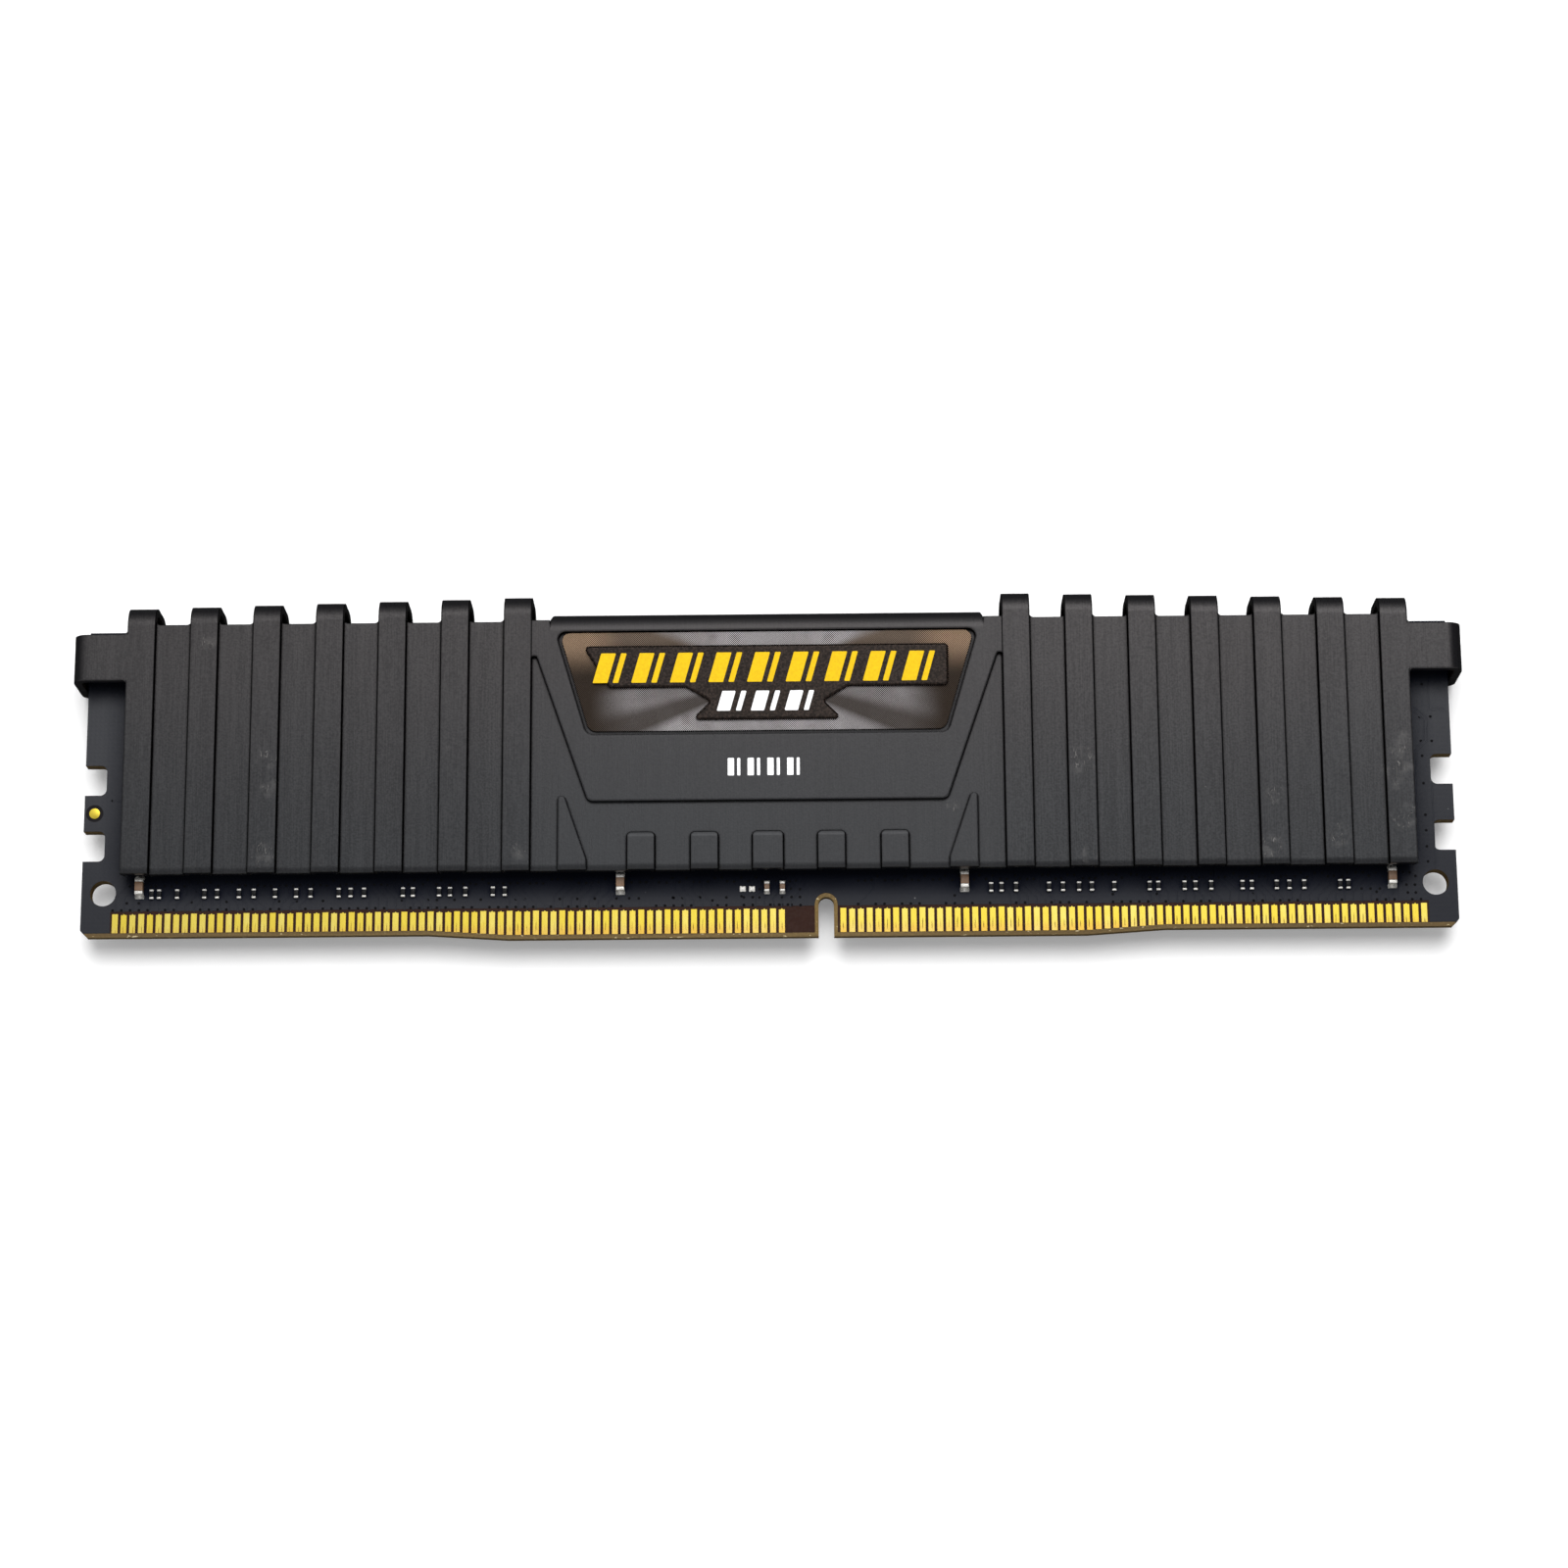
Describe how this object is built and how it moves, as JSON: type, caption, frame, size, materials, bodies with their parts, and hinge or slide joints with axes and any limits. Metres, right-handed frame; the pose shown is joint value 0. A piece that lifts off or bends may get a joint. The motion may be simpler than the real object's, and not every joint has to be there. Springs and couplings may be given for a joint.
{
  "type": "memory module",
  "caption": "Desktop memory module: a circuit board with a keyed edge of gold contacts between two black ribbed heat-spreader plates with bent teeth and a badge.",
  "frame": {"origin": "middle of the underside: the module lies on its rear plate, halfway along its length and halfway between the contact edge and the highest tooth", "axes": "+X along the module towards the short contact group, +Y from the contacts to the teeth, +Z from the rear plate to the front plate with the badge"},
  "size_m": [0.1358, 0.034, 0.007],
  "materials": {
    "laminate": "bare glass-fibre laminate, cut edges tan",
    "solder_mask": "blue-black satin solder mask",
    "gold": "hard gold plating with fine wipe marks",
    "tin": "bright tin and solder",
    "anodised_plate": "black anodised, fine vertical brushing",
    "thermal_pad": "soft silicone, matte",
    "badge_metal": "printed dot screen, silver in the middle and bronze at the ends",
    "badge_plaque": "gloss black-brown print with plain coloured bars",
    "label": "plain satin label with plain bars",
    "chip_package": "matte moulded epoxy",
    "capacitor_ceramic": "matte tan ceramic",
    "resistor_ceramic": "black glazed top"
  },
  "bodies": {
    "root": {"circuit_board": "laminate", "solder_mask_front": "solder_mask", "solder_mask_rear": "solder_mask", "contacts_front_left": "gold", "contacts_front_right": "gold", "contacts_rear_left": "gold", "contacts_rear_right": "gold", "fiducial_pad": "gold", "bare_solder_pads": "tin", "bulk_capacitor_terminals": "tin", "small_capacitor_terminals": "tin", "resistor_terminals_front": "tin", "resistor_terminals_rear": "tin", "decoupling_capacitor_terminals": "tin", "front_heat_spreader": "anodised_plate", "rear_heat_spreader": "anodised_plate", "front_thermal_pad": "thermal_pad", "rear_thermal_pad": "thermal_pad", "badge_plate": "badge_metal", "badge_plaque": "badge_plaque", "rear_label": "label", "dram_chip_front_1": "chip_package", "dram_chip_front_2": "chip_package", "dram_chip_front_3": "chip_package", "dram_chip_front_4": "chip_package", "dram_chip_front_5": "chip_package", "dram_chip_front_6": "chip_package", "dram_chip_front_7": "chip_package", "dram_chip_front_8": "chip_package", "dram_chip_rear_1": "chip_package", "dram_chip_rear_2": "chip_package", "dram_chip_rear_3": "chip_package", "dram_chip_rear_4": "chip_package", "dram_chip_rear_5": "chip_package", "dram_chip_rear_6": "chip_package", "dram_chip_rear_7": "chip_package", "dram_chip_rear_8": "chip_package", "spd_chip": "chip_package", "bulk_capacitor_bodies": "capacitor_ceramic", "small_capacitor_bodies": "capacitor_ceramic", "decoupling_capacitor_bodies": "capacitor_ceramic", "resistor_bodies_front": "resistor_ceramic", "resistor_bodies_rear": "resistor_ceramic"}
  },
  "joints": []
}
